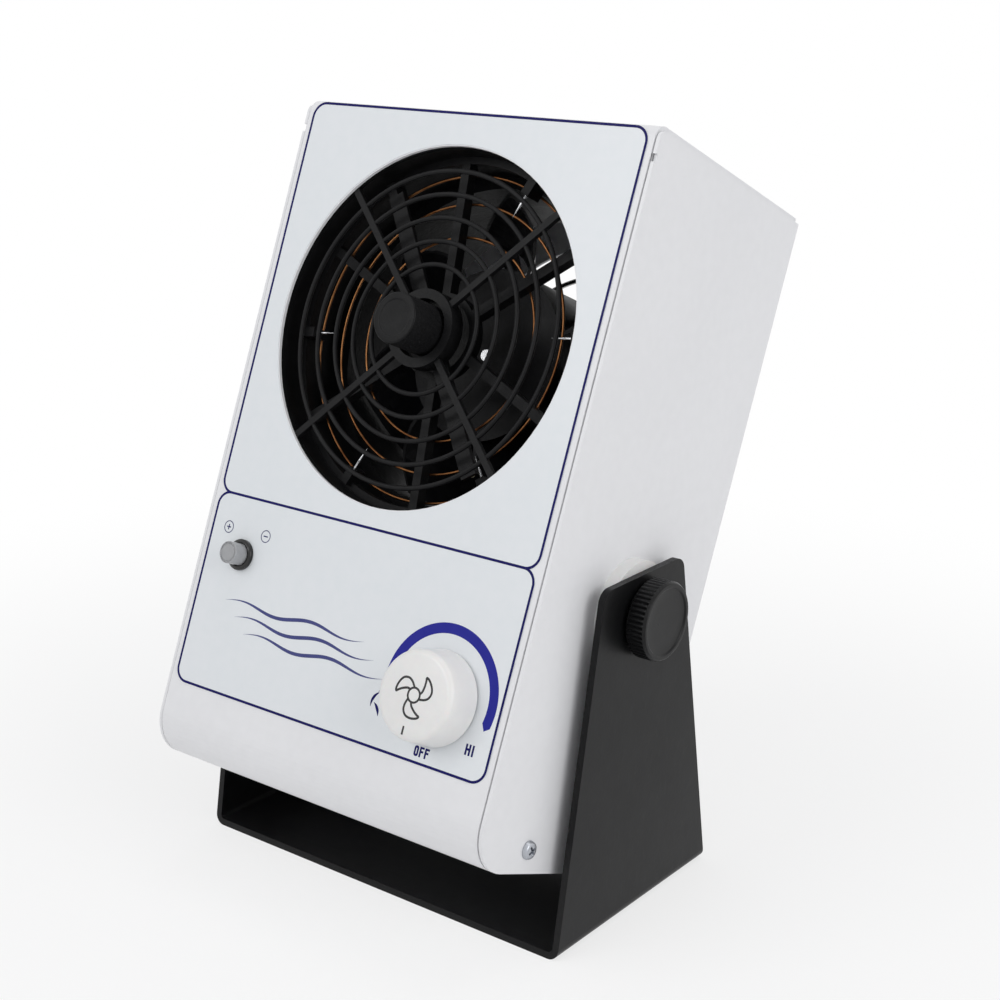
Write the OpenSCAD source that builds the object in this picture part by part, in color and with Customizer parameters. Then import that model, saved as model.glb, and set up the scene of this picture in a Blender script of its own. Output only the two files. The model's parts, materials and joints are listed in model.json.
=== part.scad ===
// Ionizing bench blower: a sheet-steel housing that tilts in a U bracket.
// Frame: millimetres, +Z up, the front of the blower faces -Y.
// Origin: centre of the underside of the bracket's base.

/* [Housing] */
// Width over the two side plates
body_w = 150; // [146:1:170]
// Depth from the front sheet to the back plate
body_d = 102; // [100:1:130]
// Height of the top sheet above the tilt axis
body_up = 150; // [146:1:170]
// Depth of the underside below the tilt axis
body_down = 92; // [84:1:93]
// Thickness of the painted sheet
sheet_t = 1.2; // [0.8:0.1:1.6]
// Outside radius of the bend between front and top
top_bend_r = 5; // [3:0.5:8]
// Outside radius of the bend between front and underside
bottom_bend_r = 16; // [10:1:20]
// Outside radius of the bends between the side plates and the back
back_bend_r = 2.5; // [2:0.5:5]
// How far the side plates stop below the top sheet
side_drop = 2; // [1:0.5:4]
// How far the front edges of the side plates stand back from the front
side_setback = 0.4; // [0.2:0.1:1]
// Gap between the two shells along their seams
seam_gap = 0.5; // [0.3:0.1:0.8]
// Width of the flange folded inward round the front shell
flange_w = 12; // [10:1:16]
// Height of the catch slot in each side seam
catch_h = 2.6; // [2:0.2:5]
// Depth of the catch slot in each side seam
catch_d = 1.2; // [1:0.1:2]
// Height of the catch slots above the tilt axis
catch_z = 139; // [100:1:139]

/* [Tilt] */
// Lean of the housing backward from upright, in degrees
tilt = 23.4; // [0:0.1:30]
// Height of the tilt axis above the surface it stands on
pivot_h = 111.5; // [111:0.5:130]

/* [Label] */
// Width of the label over its printed frame
label_w = 142.4; // [120:0.2:143]
// Top edge of the label above the tilt axis
label_top = 148.3; // [140:0.1:149]
// Line between the two fields of the label, above the tilt axis
label_mid = 5.9; // [0:0.1:8]
// Bottom edge of the label below the tilt axis
label_bottom = 64.6; // [60:0.1:72]
// Corner radius of each label field
label_r = 5; // [2:0.5:8]
// Thickness of the label film
label_t = 0.25; // [0.2:0.05:0.5]
// Half of the overlap of the two label fields at the line between them
label_lap = 0.4; // [0.2:0.1:0.8]

/* [Outlet grille] */
// Radius of the round outlet in the front sheet
outlet_r = 62.1; // [61:0.1:63]
// Height of the outlet's centre above the tilt axis
outlet_z = 75.1; // [72:0.1:78]
// Number of concentric rings
ring_count = 5; // [3:1:6]
// Centre radius of the innermost ring
ring_first_r = 22.2; // [20:0.1:24]
// Radial distance from ring to ring
ring_pitch = 8; // [7:0.1:8]
// Thickness of a ring bar
ring_bar = 1.7; // [1.2:0.1:2.4]
// Width of a spoke
spoke_w = 2.3; // [1.6:0.1:3]
// Number of spokes
spoke_count = 4; // [3:1:8]
// Radius of the grille's hub
hub_r = 13.5; // [12.5:0.1:15]
// Radius of the recess in the hub
hub_recess_r = 10.2; // [9.6:0.1:11]
// Depth of the hub's floor behind the front
hub_floor = 4.4; // [3.5:0.1:5]
// Thickness of the grille's rim and of its hub floor
grille_t = 2; // [1.6:0.1:2.4]
// Width of the grille's rim behind the sheet
grille_rim = 6.5; // [4:0.5:7]

/* [Cleaning brush] */
// Radius of the cleaning knob
clean_knob_r = 8.8; // [7:0.1:9.2]
// How far the cleaning knob stands out from the front
clean_knob_out = 13.8; // [8:0.1:20]
// Radius of the cleaning knob's shaft
clean_shaft_r = 3; // [2:0.1:4]
// Width of the brush arms
brush_w = 6; // [4:0.5:8]
// Reach of the brush arms from the centre
brush_reach = 54; // [48:0.5:54.5]
// Thickness of the brush arms
brush_t = 1.8; // [1.2:0.1:2]
// Angle at which the brush arms are parked
brush_angle = 124; // [0:1:180]

/* [Emitter] */
// Depth of the needles' axes behind the front
needle_depth = 10.9; // [10.6:0.1:12]
// Number of needles, and of carrier arms between them
needle_count = 6; // [4:1:8]
// Radius of a needle
needle_r = 0.5; // [0.4:0.1:0.8]
// Radius from the centre to the needle tips
needle_tip_r = 46.5; // [44:0.5:50]
// Width of a carrier arm
carrier_arm_w = 3.4; // [2.5:0.1:5]
// Depth of a carrier arm along the air flow
carrier_arm_d = 4.6; // [3:0.1:8]
// Radius of the carrier's centre ring
carrier_hub_r = 15; // [12:0.5:18]
// Angle of the first carrier arm
carrier_angle = 36.5; // [0:0.5:60]
// Radius of the inner wire ring
wire_in_r = 35.5; // [30:0.5:38]
// Radius of the middle wire ring
wire_mid_r = 47; // [42:0.5:50]
// Radius of the outer wire ring
wire_out_r = 57; // [54:0.5:58]
// Thickness of the ring wire
wire_d = 0.9; // [0.6:0.1:1.6]

/* [Duct] */
// Wall of the air duct
duct_wall = 1.5; // [1.2:0.1:2]
// Thickness of the duct's end flanges
duct_flange = 2; // [1.6:0.1:3]

/* [Fan] */
// Side of the square fan frame
fan_side = 119.5; // [118:0.5:120]
// Depth of the fan along its axis
fan_t = 38; // [32:1:40]
// Depth of the fan's front face behind the front sheet's face
fan_front = 35; // [32:1:38]
// Distance between the fan's mounting holes
fan_holes = 105; // [104:0.5:106]
// Radius of the mounting holes
fan_hole_r = 2.2; // [2.1:0.1:2.6]
// Radius of the studs that carry the fan
fan_stud_r = 2; // [1.5:0.1:2]
// Radius of the fan's bore
fan_bore_r = 57.8; // [57:0.1:58.2]
// Thickness of the fan frame's square flanges
fan_flange = 5; // [3:0.5:8]
// Gap between blade tips and bore
tip_gap = 1; // [0.6:0.1:2]
// Radius of the rotor cup
rotor_r = 31; // [28:0.5:34]
// Number of blades
blade_count = 7; // [5:1:9]
// Thickness of a blade
blade_t = 1.5; // [1.2:0.1:2.4]
// Turn of a blade along the axis, in degrees
blade_twist = 30; // [15:1:40]
// Radius of the fan's shaft
fan_shaft_r = 2; // [1.5:0.1:2.5]

/* [Controls] */
// Speed knob: distance to the right of the centre
speed_x = 45.7; // [40:0.1:50]
// Speed knob: depth below the tilt axis
speed_down = 41.9; // [38:0.1:44]
// Speed knob: radius at the panel
speed_r = 16.1; // [12:0.1:17]
// Speed knob: radius at the face
speed_face_r = 15; // [11:0.1:16]
// Speed knob: height over the front
speed_out = 13.3; // [10:0.1:16]
// Gap between a knob and the surface behind it
knob_gap = 0.6; // [0.4:0.1:1]
// Indicator lamp: distance to the left of the centre
lamp_left = 53.8; // [46:0.1:58]
// Indicator lamp: depth below the tilt axis
lamp_down = 14.7; // [10:0.1:20]
// Indicator lamp: radius of the bezel
lamp_bezel_r = 5.6; // [5:0.1:7]
// Indicator lamp: radius of the lens
lamp_lens_r = 3.95; // [3.5:0.05:4.2]
// Indicator lamp: height of the lens over the front
lamp_out = 7.4; // [5:0.1:10]

/* [Back] */
// Radius of the air inlet in the back plate
inlet_r = 57; // [50:0.5:60]
// Thickness of the guard wire
guard_wire = 2; // [1.4:0.1:2.4]
// Radial distance between the guard's rings
guard_pitch = 9; // [8:0.5:12]
// Power socket: distance to the right of the centre, seen from the front
socket_x = 36; // [30:1:40]
// Power socket: depth below the tilt axis
socket_down = 52; // [48:1:55]

/* [Bracket] */
// Gap between a side plate and the arm beside it
arm_gap = 5.25; // [4:0.05:8]
// Thickness of the bracket's steel
bracket_t = 2.5; // [2:0.1:3]
// Depth of the base, front to back
base_d = 93.8; // [80:0.2:120]
// Depth of an arm at its top
arm_top_d = 46.4; // [40:0.2:60]
// Height of the arms
arm_h = 126.5; // [126:0.5:130]
// Corner radius at the top of an arm
arm_corner_r = 5; // [2:0.5:8]
// Outside radius of the bends between base and arms
bracket_bend_r = 4; // [3.5:0.5:8]

/* [Clamps] */
// Radius of a clamp knob
clamp_r = 13.8; // [11:0.1:16]
// Height of a clamp knob
clamp_h = 8.4; // [7:0.1:12]
// Number of grooves round a clamp knob
clamp_grooves = 50; // [30:1:60]
// Radius of the clamp stud
stud_r = 3; // [2.5:0.1:3.5]
// Radius of the spacer disc between housing and arm
spacer_r = 18.4; // [12:0.1:20]

/* [Fits] */
// Radial play of a turning shaft in its bore
run_play = 0.05; // [0.02:0.01:0.1]
// Radial play of a screw or stud in a plain hole
hole_play = 0.3; // [0.2:0.05:0.5]
// Gap between faces that slide or turn past each other
face_gap = 0.3; // [0.3:0.05:0.5]

/* [Hidden] */
$fn = 96;

paint = [0.88, 0.88, 0.89];
film = [0.86, 0.88, 0.90];
black = [0.10, 0.10, 0.11];
moulded_black = [0.07, 0.07, 0.08];
white_plastic = [0.92, 0.92, 0.92];
clear_plastic = [0.80, 0.82, 0.84];
bare_steel = [0.68, 0.69, 0.70];
copper = [0.72, 0.42, 0.22];
brass = [0.78, 0.64, 0.36];
board_green = [0.10, 0.32, 0.20];
bristle = [0.85, 0.82, 0.72];

front_w = body_w - 2 * (sheet_t + seam_gap);
wrap_back = body_d / 2 - sheet_t - seam_gap;
side_in = body_w / 2 - sheet_t;
floor_z = -body_down + sheet_t;
bracket_w = body_w + 2 * (arm_gap + bracket_t);
duct_r = outlet_r;
duct_front = sheet_t + grille_t;
fan_back = fan_front + fan_t;
corners = [[-1, -1], [1, -1], [1, 1], [-1, 1]];
case_screw_y = 21.5;
case_screw_z = floor_z + flange_w * 0.59;
overlap = 0.4;

// ---------- shared shapes ----------

// Points of an arc from angle a to angle b
function arc(cx, cy, r, a, b, steps = 10) =
    [for (i = [0:steps]) let (t = a + (b - a) * i / steps) [cx + r * cos(t), cy + r * sin(t)]];

// Outline of a rectangle with rounded corners, centred on the origin
function rounded_rect(w, h, r) = concat(
    arc(w / 2 - r, h / 2 - r, r, 0, 90, 6), arc(-w / 2 + r, h / 2 - r, r, 90, 180, 6),
    arc(-w / 2 + r, -h / 2 + r, r, 180, 270, 6), arc(w / 2 - r, -h / 2 + r, r, 270, 360, 6));

// Housing frame: origin on the tilt axis, leaning back in the bracket
module lean() translate([0, 0, pivot_h]) rotate([-tilt, 0, 0]) children();

// Front frame: +Z points out of the front, +Y up, at a point of the front sheet
module on_front(x, z) lean() translate([x, -body_d / 2, z]) rotate([90, 0, 0]) children();

// Outlet frame: the front frame on the fan's axis
module on_outlet() on_front(0, outlet_z) children();

// Back frame: +Z points out of the back, +Y up, at a point of the back plate
module on_back(x, z) lean() translate([x, body_d / 2, z]) rotate([90, 0, 180]) children();

// Clamp frame: +Z points outward along the tilt axis, zero on the side plate's face
module on_side(side) lean() translate([side * body_w / 2, 0, 0]) rotate([0, side * 90, 0]) children();

// Extrudes a side view, given in Y and Z, along X
module across(w) rotate([90, 0, 90]) linear_extrude(w, center = true) children();

module tube(outer, inner, h) difference() {
    cylinder(r = outer, h = h);
    translate([0, 0, -1]) cylinder(r = inner, h = h + 2);
}

// Hexagon nut with a round bore, standing on the origin
module nut(flats, bore, h) difference() {
    cylinder(r = flats / 2 / cos(30), h = h, $fn = 6);
    translate([0, 0, -1]) cylinder(r = bore, h = h + 2);
}

// Pan-head screw: the head's seat on the origin, head up, shank down
module pan_screw(head_r, head_h, shank, length) {
    rotate_extrude() polygon(concat([[0, 0], [head_r, 0]],
        arc(head_r - head_h * 0.8, head_h * 0.2, head_h * 0.8, 0, 90, 5), [[0, head_h]]));
    translate([0, 0, -length]) cylinder(r = shank, h = length + overlap);
}

// Four copies on the fan's mounting holes
module at_fan_holes() for (c = corners) translate([c[0] * fan_holes / 2, c[1] * fan_holes / 2, 0])
    children();

// ---------- housing shells ----------

// Side view of the housing, inset by a given amount, open past the back
module wrap(inset, back) {
    top_r = max(top_bend_r - inset, 0.5);
    low_r = max(bottom_bend_r - inset, 0.5);
    y0 = -body_d / 2 + inset;
    z0 = -body_down + inset;
    z1 = body_up - inset;
    polygon(concat(arc(y0 + low_r, z0 + low_r, low_r, 270, 180, 12),
        arc(y0 + top_r, z1 - top_r, top_r, 180, 90), [[back, z1], [back, z0]]));
}

// One bent sheet: front, top and underside, with flanges folded in along the sides
module front_shell() color(paint) difference() {
    union() {
        lean() across(front_w) difference() {
            wrap(0, wrap_back);
            wrap(sheet_t, wrap_back + 1);
        }
        for (side = [-1, 1])
            lean() translate([side * (front_w - sheet_t) / 2, 0, 0]) across(sheet_t) difference() {
                wrap(sheet_t / 2, wrap_back);
                wrap(flange_w, wrap_back + 1);
            }
    }
    on_outlet() translate([0, 0, -2 * sheet_t]) cylinder(r = outlet_r, h = 4 * sheet_t);
    on_front(-lamp_left, -lamp_down) translate([0, 0, -2 * sheet_t])
        cylinder(r = lamp_lens_r + hole_play, h = 4 * sheet_t);
    on_front(speed_x, -speed_down) translate([0, 0, -2 * sheet_t])
        cylinder(r = bushing_r + hole_play, h = 4 * sheet_t);
    case_screw_holes();
    catch_slots();
}

module catch_slots() for (side = [-1, 1])
    lean() translate([side * body_w / 2, -body_d / 2 + side_setback + catch_d / 2, catch_z])
        cube([8 * sheet_t, catch_d, catch_h], center = true);

module case_screw_holes() for (side = [-1, 1], y = [-case_screw_y, case_screw_y])
    lean() translate([side * body_w / 2, y, case_screw_z]) rotate([0, 90, 0])
        cylinder(r = case_shank_r + hole_play / 2, h = 8 * sheet_t, center = true);

// Plan view of the rear shell, inset by a given amount, open past the front
module plan(inset, front) {
    r = max(back_bend_r - inset, 0.5);
    x = body_w / 2 - inset;
    y = body_d / 2 - inset;
    polygon(concat([[-x, front], [x, front]], arc(x - r, y - r, r, 0, 90, 6), arc(r - x, y - r, r, 90,
        180, 6)));
}

// Side view of a side plate
module side_view() {
    low_r = bottom_bend_r - side_setback;
    y0 = -body_d / 2 + side_setback;
    z1 = body_up - side_drop;
    top_r = max(top_bend_r - side_drop, 0.5);
    polygon(concat(arc(y0 + low_r, -body_down + low_r, low_r, 270, 180, 12),
        arc(y0 + top_r, z1 - top_r, top_r, 180, 90), [[body_d, z1], [body_d, -body_down]]));
}

// One bent sheet: both side plates and the back
module rear_shell() color(paint) difference() {
    intersection() {
        lean() across(2 * body_w) side_view();
        lean() translate([0, 0, -2 * body_down]) linear_extrude(4 * body_down + body_up) difference() {
            plan(0, -body_d);
            plan(sheet_t, -body_d - 1);
        }
    }
    on_back(0, outlet_z) translate([0, 0, -2 * sheet_t]) cylinder(r = inlet_r, h = 4 * sheet_t);
    on_back(0, outlet_z) at_fan_holes() translate([0, 0, -2 * sheet_t])
        cylinder(r = guard_screw_r + hole_play / 2, h = 4 * sheet_t);
    on_back(socket_x, -socket_down) {
        cube([socket_body_w + hole_play, socket_body_h + hole_play, 4 * sheet_t], center = true);
        for (side = [-1, 1]) translate([side * socket_screws / 2, 0, -2 * sheet_t])
            cylinder(r = socket_screw_r + hole_play / 2, h = 4 * sheet_t);
    }
    for (side = [-1, 1]) on_side(side) translate([0, 0, -2 * sheet_t])
        cylinder(r = stud_r + hole_play, h = 4 * sheet_t);
    case_screw_holes();
    catch_slots();
}

// ---------- label ----------

module label_field(z0, z1) translate([0, (z0 + z1) / 2]) polygon(rounded_rect(label_w, z1 - z0, label_r));

module label_overlay() color(film) on_front(0, 0) linear_extrude(label_t) difference() {
    union() {
        label_field(label_mid - label_lap, label_top);
        label_field(-label_bottom, label_mid + label_lap);
    }
    translate([0, outlet_z]) circle(r = outlet_r + 0.4);
    translate([-lamp_left, -lamp_down]) circle(r = lamp_lens_r + hole_play);
    translate([speed_x, -speed_down]) circle(r = bushing_r + hole_play);
}

// ---------- outlet: grille, duct, emitter ----------

ring_depth = sheet_t + grille_t / 2;
rim_out_r = outlet_r + grille_rim;

module outlet_grille() color(moulded_black) on_outlet() difference() {
    union() {
        translate([0, 0, -duct_front]) tube(rim_out_r, outlet_r + face_gap, grille_t);
        for (i = [0:ring_count - 1]) translate([0, 0, -ring_depth])
            rotate_extrude() translate([ring_first_r + i * ring_pitch, 0]) circle(d = ring_bar, $fn = 24);
        for (i = [0:spoke_count - 1]) rotate(45 + i * 360 / spoke_count)
            translate([hub_r - 1, -spoke_w / 2, -duct_front + 0.05])
                cube([outlet_r + 2 - hub_r, spoke_w, grille_t - 0.1]);
        translate([0, 0, -hub_floor - grille_t]) cylinder(r = hub_r, h = hub_floor + grille_t - 0.3);
    }
    translate([0, 0, -hub_floor]) cylinder(r = hub_recess_r, h = hub_floor + 1);
    translate([0, 0, -3 * hub_floor]) cylinder(r = clean_shaft_r + run_play, h = 3 * hub_floor);
}

// Round duct between two square flanges that the fan's studs pass through
module air_duct() color(moulded_black) on_outlet() difference() {
    union() {
        translate([0, 0, -fan_front]) cylinder(r = duct_r + duct_wall, h = fan_front - duct_front);
        for (z = [-fan_front, -duct_front - duct_flange]) translate([0, 0, z])
            linear_extrude(duct_flange) polygon(rounded_rect(fan_side, fan_side, fan_corner_r));
    }
    translate([0, 0, -fan_front + duct_flange]) cylinder(r = duct_r, h = fan_front);
    translate([0, 0, -fan_front - 1]) cylinder(r = fan_bore_r, h = fan_front);
    at_fan_holes() translate([0, 0, -fan_front - 1]) cylinder(r = fan_hole_r, h = fan_front);
}

carrier_front = needle_depth + needle_r;
carrier_back = carrier_front + carrier_arm_d;
carrier_rim = 2.5;
carrier_boss = 7;
needle_point = 5;
needle_end_r = 0.05;
needle_seat = 2;

// Rim against the duct wall, arms to a centre ring, and a boss for each needle
module emitter_carrier() color(moulded_black) on_outlet() {
    translate([0, 0, -carrier_back]) tube(duct_r, duct_r - carrier_rim, carrier_arm_d);
    translate([0, 0, -carrier_back]) tube(carrier_hub_r, carrier_hub_r - carrier_rim, carrier_arm_d);
    for (i = [0:needle_count - 1]) rotate(carrier_angle + i * 360 / needle_count) {
        translate([carrier_hub_r - 1, -carrier_arm_w / 2, -carrier_back + 0.1])
            cube([duct_r - carrier_hub_r, carrier_arm_w, carrier_arm_d - 0.2]);
        rotate(180 / needle_count) translate([duct_r - carrier_boss, -carrier_arm_w / 2,
            -carrier_back + 0.1])
            difference() {
                cube([carrier_boss - 1, carrier_arm_w, carrier_arm_d + 2 * needle_r + 1]);
                translate([-1, carrier_arm_w / 2, carrier_back - needle_depth - 0.1]) rotate([0, 90, 0])
                    cylinder(r = needle_r, h = carrier_boss);
            }
    }
}

// Sharp needles held in the carrier's bosses, pointing at the centre
module emitter_needles() color(bare_steel) on_outlet() translate([0, 0, -needle_depth])
    for (i = [0:needle_count - 1]) rotate(carrier_angle + (i + 0.5) * 360 / needle_count)
        rotate([0, 90, 0]) {
        translate([0, 0, needle_tip_r + needle_point])
            cylinder(r = needle_r, h = duct_r - needle_seat - needle_tip_r - needle_point);
        translate([0, 0, needle_tip_r]) cylinder(r1 = needle_end_r, r2 = needle_r, h = needle_point);
    }

// Bare wire rings lying on the back of the carrier's arms
module wire_rings() color(copper) on_outlet() translate([0, 0, -carrier_back + 0.1 - wire_d / 2])
    for (r = [wire_in_r, wire_mid_r, wire_out_r]) rotate_extrude() translate([r, 0])
        circle(d = wire_d, $fn = 16);

// ---------- cleaning brush ----------

clean_knob_back = hub_floor - face_gap;
brush_front = hub_floor + grille_t + face_gap;
clean_fillet = 1;
brush_hub_r = 8;
tuft_count = 3;
tuft_pitch = 2.6;
tuft_r = 1.1;
tuft_inset = 1.5;
tuft_l = needle_depth - needle_r - face_gap - brush_front - brush_t + 0.1;

module cleaning_knob() color(black) on_outlet() rotate_extrude() polygon(concat(
    [[0, -clean_knob_back], [clean_knob_r, -clean_knob_back]],
    arc(clean_knob_r - clean_fillet, clean_knob_out - clean_fillet, clean_fillet, 0, 90, 6),
    [[0, clean_knob_out]]));

module cleaning_shaft() color(bare_steel) on_outlet()
    translate([0, 0, -brush_front - brush_t]) cylinder(r = clean_shaft_r,
        h = brush_front + brush_t - clean_knob_back);

// Two opposed arms on the shaft's end, with a raised rib along each
module brush_arm() color(black) on_outlet() difference() {
    union() {
        translate([0, 0, -brush_front - brush_t]) cylinder(r = brush_hub_r, h = brush_t);
        rotate(brush_angle) translate([-brush_reach, -brush_w / 2, -brush_front - brush_t + 0.1])
            cube([2 * brush_reach, brush_w, brush_t - 0.2]);
    }
    translate([0, 0, -brush_front - brush_t - 1]) cylinder(r = clean_shaft_r, h = brush_t + 2);
}

// Tufts that sweep the needle points
module brush_tufts() color(bristle) on_outlet() rotate(brush_angle)
    for (side = [-1, 1], i = [0:tuft_count - 1])
    translate([side * (brush_reach - tuft_inset - i * tuft_pitch), 0,
        -brush_front - brush_t + 0.1 - tuft_l])
        cylinder(r = tuft_r, h = tuft_l, $fn = 24);

// ---------- fan ----------

fan_corner_r = 5;
strut_w = 5;
strut_t = 4;
bearing_r = 5;
bearing_t = 4;
tube_wall = 1.6;
cup_wall = 2;
rotor_front = fan_front + 4;
rotor_len = fan_t - 4 - strut_t - 2;
rotor_back = rotor_front + rotor_len;
stator_front = rotor_front + cup_wall + 3;
stator_len = rotor_len - cup_wall - 5;

module fan_frame() color(black) on_outlet() {
    difference() {
        union() {
            translate([0, 0, -fan_back]) cylinder(r = fan_side / 2 - 0.2, h = fan_t);
            for (z = [-fan_back, -fan_front - fan_flange]) translate([0, 0, z])
                linear_extrude(fan_flange) polygon(rounded_rect(fan_side, fan_side, fan_corner_r));
        }
        translate([0, 0, -fan_back - 1]) cylinder(r = fan_bore_r, h = fan_t + 2);
        at_fan_holes() translate([0, 0, -fan_back - 1]) cylinder(r = fan_hole_r, h = fan_t + 2);
    }
    difference() {
        union() {
            translate([0, 0, -fan_back]) cylinder(r = rotor_r, h = strut_t);
            for (a = [0:90:270]) rotate(a + 30) translate([rotor_r - 2, -strut_w / 2, -fan_back + 0.1])
                cube([fan_bore_r - rotor_r + 3, strut_w, strut_t - 0.2]);
            translate([0, 0, -fan_back]) cylinder(r = bearing_r + tube_wall,
                h = fan_back - stator_front - 1);
        }
        translate([0, 0, -fan_back + 1]) cylinder(r = bearing_r, h = fan_t);
    }
}

// Two bearings pressed into the frame's tube
module fan_bearings() color(bare_steel) on_outlet()
    for (z = [-fan_back + 1, -stator_front - 1 - bearing_t]) translate([0, 0, z])
        tube(bearing_r, fan_shaft_r + run_play, bearing_t);

// Laminated core with its coils round the bearing tube
module fan_stator() color(copper) on_outlet() difference() {
    translate([0, 0, -stator_front - stator_len]) union() {
        cylinder(r = stator_r, h = stator_len);
        for (a = [0:45:315]) rotate(a) translate([stator_r * 0.6, -2.5, 1])
            cube([stator_r * 0.4 + 1, 5, stator_len - 2]);
    }
    translate([0, 0, -2 * fan_back]) cylinder(r = bearing_r + tube_wall, h = 2 * fan_back);
}
stator_r = rotor_r - cup_wall - 4;

// One blade's section across the axis, swept back towards its tip
module blade_section() {
    steps = 6;
    root = rotor_r - 0.8;
    reach = fan_bore_r - tip_gap - root;
    sweep = 24;
    half = blade_t / 2;
    function at(i, side) = let (r = root + reach * i / steps, a = sweep * pow(i / steps, 2))
        [r * cos(a) - side * half * sin(a), r * sin(a) + side * half * cos(a)];
    polygon(concat([for (i = [0:steps]) at(i, -1)], [for (i = [steps:-1:0]) at(i, 1)]));
}

// Rotor cup, open at the back, with its twisted blades
module impeller() color(moulded_black) on_outlet() {
    difference() {
        translate([0, 0, -rotor_back]) cylinder(r = rotor_r, h = rotor_len);
        translate([0, 0, -rotor_back - 1]) cylinder(r = rotor_r - cup_wall, h = rotor_len + 1 - cup_wall);
        translate([0, 0, -rotor_back - 1]) cylinder(r = fan_shaft_r, h = rotor_len + 2);
    }
    for (i = [0:blade_count - 1]) rotate(i * 360 / blade_count) translate([0, 0, -rotor_back + 0.5])
        linear_extrude(rotor_len - 1, twist = blade_twist, slices = 8, convexity = 4, $fn = 12)
            blade_section();
}

module fan_shaft() color(bare_steel) on_outlet()
    translate([0, 0, -fan_back + 1.5]) cylinder(r = fan_shaft_r, h = fan_back - 1.5 - rotor_front);

// Studs from the front sheet through grille rim, duct and fan
module fan_studs() color(bare_steel) on_outlet() at_fan_holes()
    translate([0, 0, -fan_back - fan_nut_t - 1]) cylinder(r = fan_stud_r,
        h = fan_back + fan_nut_t + 1 - sheet_t);

module fan_nuts() color(bare_steel) on_outlet() at_fan_holes()
    translate([0, 0, -fan_back - fan_nut_t]) nut(7, fan_stud_r, fan_nut_t);
fan_nut_t = 3.2;

// ---------- back ----------

guard_screw_r = 2;
guard_eye_r = 4.5;
guard_rings = floor((inlet_r - guard_wire) / guard_pitch);
guard_first = 1;
guard_eye_t = guard_wire * 0.8;

// Wire guard: rings on a cross of round wire that ends in four eyes
module inlet_guard() color(bare_steel) on_back(0, outlet_z) {
    for (i = [1:guard_rings]) translate([0, 0, guard_wire * 1.4])
        rotate_extrude() translate([i * guard_pitch + guard_first, 0]) circle(d = guard_wire, $fn = 24);
    for (a = [45, 135]) rotate(a) translate([0, 0, guard_wire / 2]) rotate([0, 90, 0])
        cylinder(d = guard_wire, h = fan_holes * sqrt(2) - 2 * guard_eye_r + 2, center = true, $fn = 24);
    at_fan_holes() difference() {
        cylinder(r = guard_eye_r, h = guard_eye_t);
        translate([0, 0, -1]) cylinder(r = guard_screw_r + hole_play / 2, h = 4);
    }
}

module guard_screws() color(bare_steel) on_back(0, outlet_z) at_fan_holes()
    translate([0, 0, guard_eye_t]) pan_screw(3.8, 2.4, guard_screw_r, 9);

socket_body_w = 27;
socket_body_h = 19.8;
socket_flange_w = 49;
socket_flange_h = 22.6;
socket_flange_t = 2.6;
socket_depth = 23;
socket_cavity_w = 24.4;
socket_cavity_h = 16.6;
socket_cavity_d = 16;
socket_chamfer = 4;
socket_screws = 40;
socket_screw_r = 1.5;
pin_l = 14;

// Outline of the socket's cavity: a rectangle with two cut corners
module socket_outline() polygon([
    [-socket_cavity_w / 2, -socket_cavity_h / 2], [socket_cavity_w / 2, -socket_cavity_h / 2],
    [socket_cavity_w / 2, socket_cavity_h / 2 - socket_chamfer],
    [socket_cavity_w / 2 - socket_chamfer, socket_cavity_h / 2],
    [socket_chamfer - socket_cavity_w / 2, socket_cavity_h / 2],
    [-socket_cavity_w / 2, socket_cavity_h / 2 - socket_chamfer]]);

// Mains inlet for an appliance coupler
module power_inlet() color(moulded_black) on_back(socket_x, -socket_down) difference() {
    union() {
        linear_extrude(socket_flange_t) polygon(rounded_rect(socket_flange_w, socket_flange_h, 3));
        translate([0, 0, -socket_depth + socket_flange_t / 2])
            linear_extrude(socket_depth) square([socket_body_w, socket_body_h], center = true);
    }
    translate([0, 0, socket_flange_t - socket_cavity_d]) linear_extrude(socket_cavity_d + 1)
        socket_outline();
    for (side = [-1, 1]) translate([side * socket_screws / 2, 0, -1])
        cylinder(r = socket_screw_r + hole_play / 2, h = 5);
}

// Three blades: two live ones below, earth in the middle above
module inlet_pins() color(brass) on_back(socket_x, -socket_down)
    for (p = [[-7, -2], [7, -2], [0, 2]]) translate([p[0] - 1, p[1] - 2, socket_flange_t - socket_cavity_d])
        cube([2, 4, pin_l]);

module inlet_screws() color(bare_steel) on_back(socket_x, -socket_down)
    for (side = [-1, 1]) translate([side * socket_screws / 2, 0, socket_flange_t])
        pan_screw(2.9, 1.9, socket_screw_r, 8);

case_head_r = 3.9;
case_head_h = 2.2;
case_shank_r = 1.9;

// Side screws that hold the two shells together
module case_screws() color(bare_steel) for (side = [-1, 1], y = [-case_screw_y, case_screw_y])
    on_side(side) translate([-side * case_screw_z, y, 0]) pan_screw(case_head_r, case_head_h,
        case_shank_r, 7);

// ---------- controls ----------

bushing_r = 3.5;
lamp_flange = 1.4;
lamp_body_l = 18;
lamp_tag = [0.8, 2.4, 6.5];
lamp_tag_x = 1.8;
pot_tag = [1.2, 8, 0.8];
pot_tag_pitch = 5;
pot_body_r = 8.5;
pot_body_l = 10;
pot_nut_t = 2;
pot_shaft_r = 3;
speed_fillet = 1.6;
speed_skirt = 5;

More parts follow.
